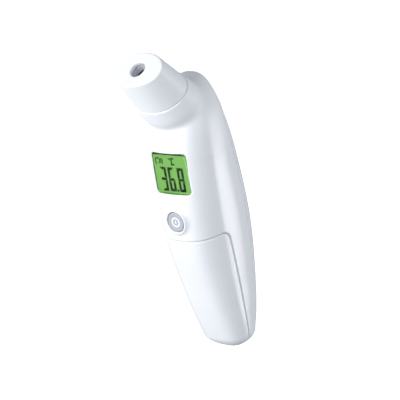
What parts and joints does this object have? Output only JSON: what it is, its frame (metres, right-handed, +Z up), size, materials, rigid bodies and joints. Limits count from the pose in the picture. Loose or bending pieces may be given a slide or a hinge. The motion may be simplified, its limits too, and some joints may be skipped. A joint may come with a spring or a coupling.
{
  "type": "digital thermometer",
  "caption": "Hand-held non-contact forehead thermometer with a leaning oval sensor nose, lit display, power button and slide-off battery cover.",
  "frame": {"origin": "bottom centre of the whole object's box, standing on the end of its handle", "axes": "+Z up the handle to the head, -Y out of the front with the display, +X to the right seen from behind the handle's front face looking at +Y"},
  "size_m": [0.0372, 0.056, 0.156],
  "materials": {
    "aluminium_block": "turned",
    "black_rubber": "matt",
    "black_wire": "insulation",
    "cell_label": "printed sleeve over steel",
    "chip_black": "moulded epoxy",
    "clear_window": "clear polished",
    "contact_nickel": "nickel plated",
    "dark_frame": "fine texture",
    "dark_window": "polished infrared window",
    "display_glass": "green lit display",
    "green_board": "solder mask",
    "grey_button": "satin grey",
    "grey_cable": "jacket",
    "lamp_resin": "clear resin",
    "light_grey_plastic": "smooth",
    "light_guide": "milky",
    "pink_rubber": "soft",
    "red_wire": "insulation",
    "screw_steel": "zinc plated",
    "sensor_steel": "drawn can",
    "socket_white": "nylon",
    "white_shell": "smooth moulded white ABS, satin gloss"
  },
  "bodies": {
    "casing": {"front_housing": "white_shell", "rear_cover": "white_shell", "nose_cap": "white_shell", "nose_seal": "black_rubber", "sensor_funnel": "light_grey_plastic", "sensor_window": "dark_window", "thermopile": "sensor_steel", "sensor_holder": "aluminium_block", "sensor_board": "green_board", "sensor_screws": "screw_steel", "sensor_cable": "grey_cable", "display_window": "clear_window", "lcd_frame": "dark_frame", "lcd_glass": "display_glass", "lcd_backlight": "light_guide", "lcd_contact_strips": "pink_rubber", "backlight_lamps": "lamp_resin", "main_board": "green_board", "board_screws": "screw_steel", "microcontroller": "chip_black", "small_components": "chip_black", "sensor_socket": "socket_white", "buzzer": "chip_black", "power_switch": "chip_black", "battery_tray": "white_shell", "case_screws": "screw_steel", "battery_left": "cell_label", "battery_right": "cell_label", "contact_springs": "contact_nickel", "contact_plates": "contact_nickel", "battery_wire_red": "red_wire", "battery_wire_black": "black_wire"},
    "button": {"power_button": "grey_button", "switch_plunger": "socket_white"},
    "cover": {"battery_cover": "white_shell"}
  },
  "joints": [
    {"name": "power_button_press", "type": "slide", "parent": "casing", "child": "button", "axis": [0, 1, 0], "range_m": [0, 0.0006], "stiffness_N_per_m": 1500, "springref_m": -0.0006},
    {"name": "battery_cover_slide", "type": "slide", "parent": "casing", "child": "cover", "axis": [0, 0.1167, -0.9932], "range_m": [0, 0.07]}
  ]
}
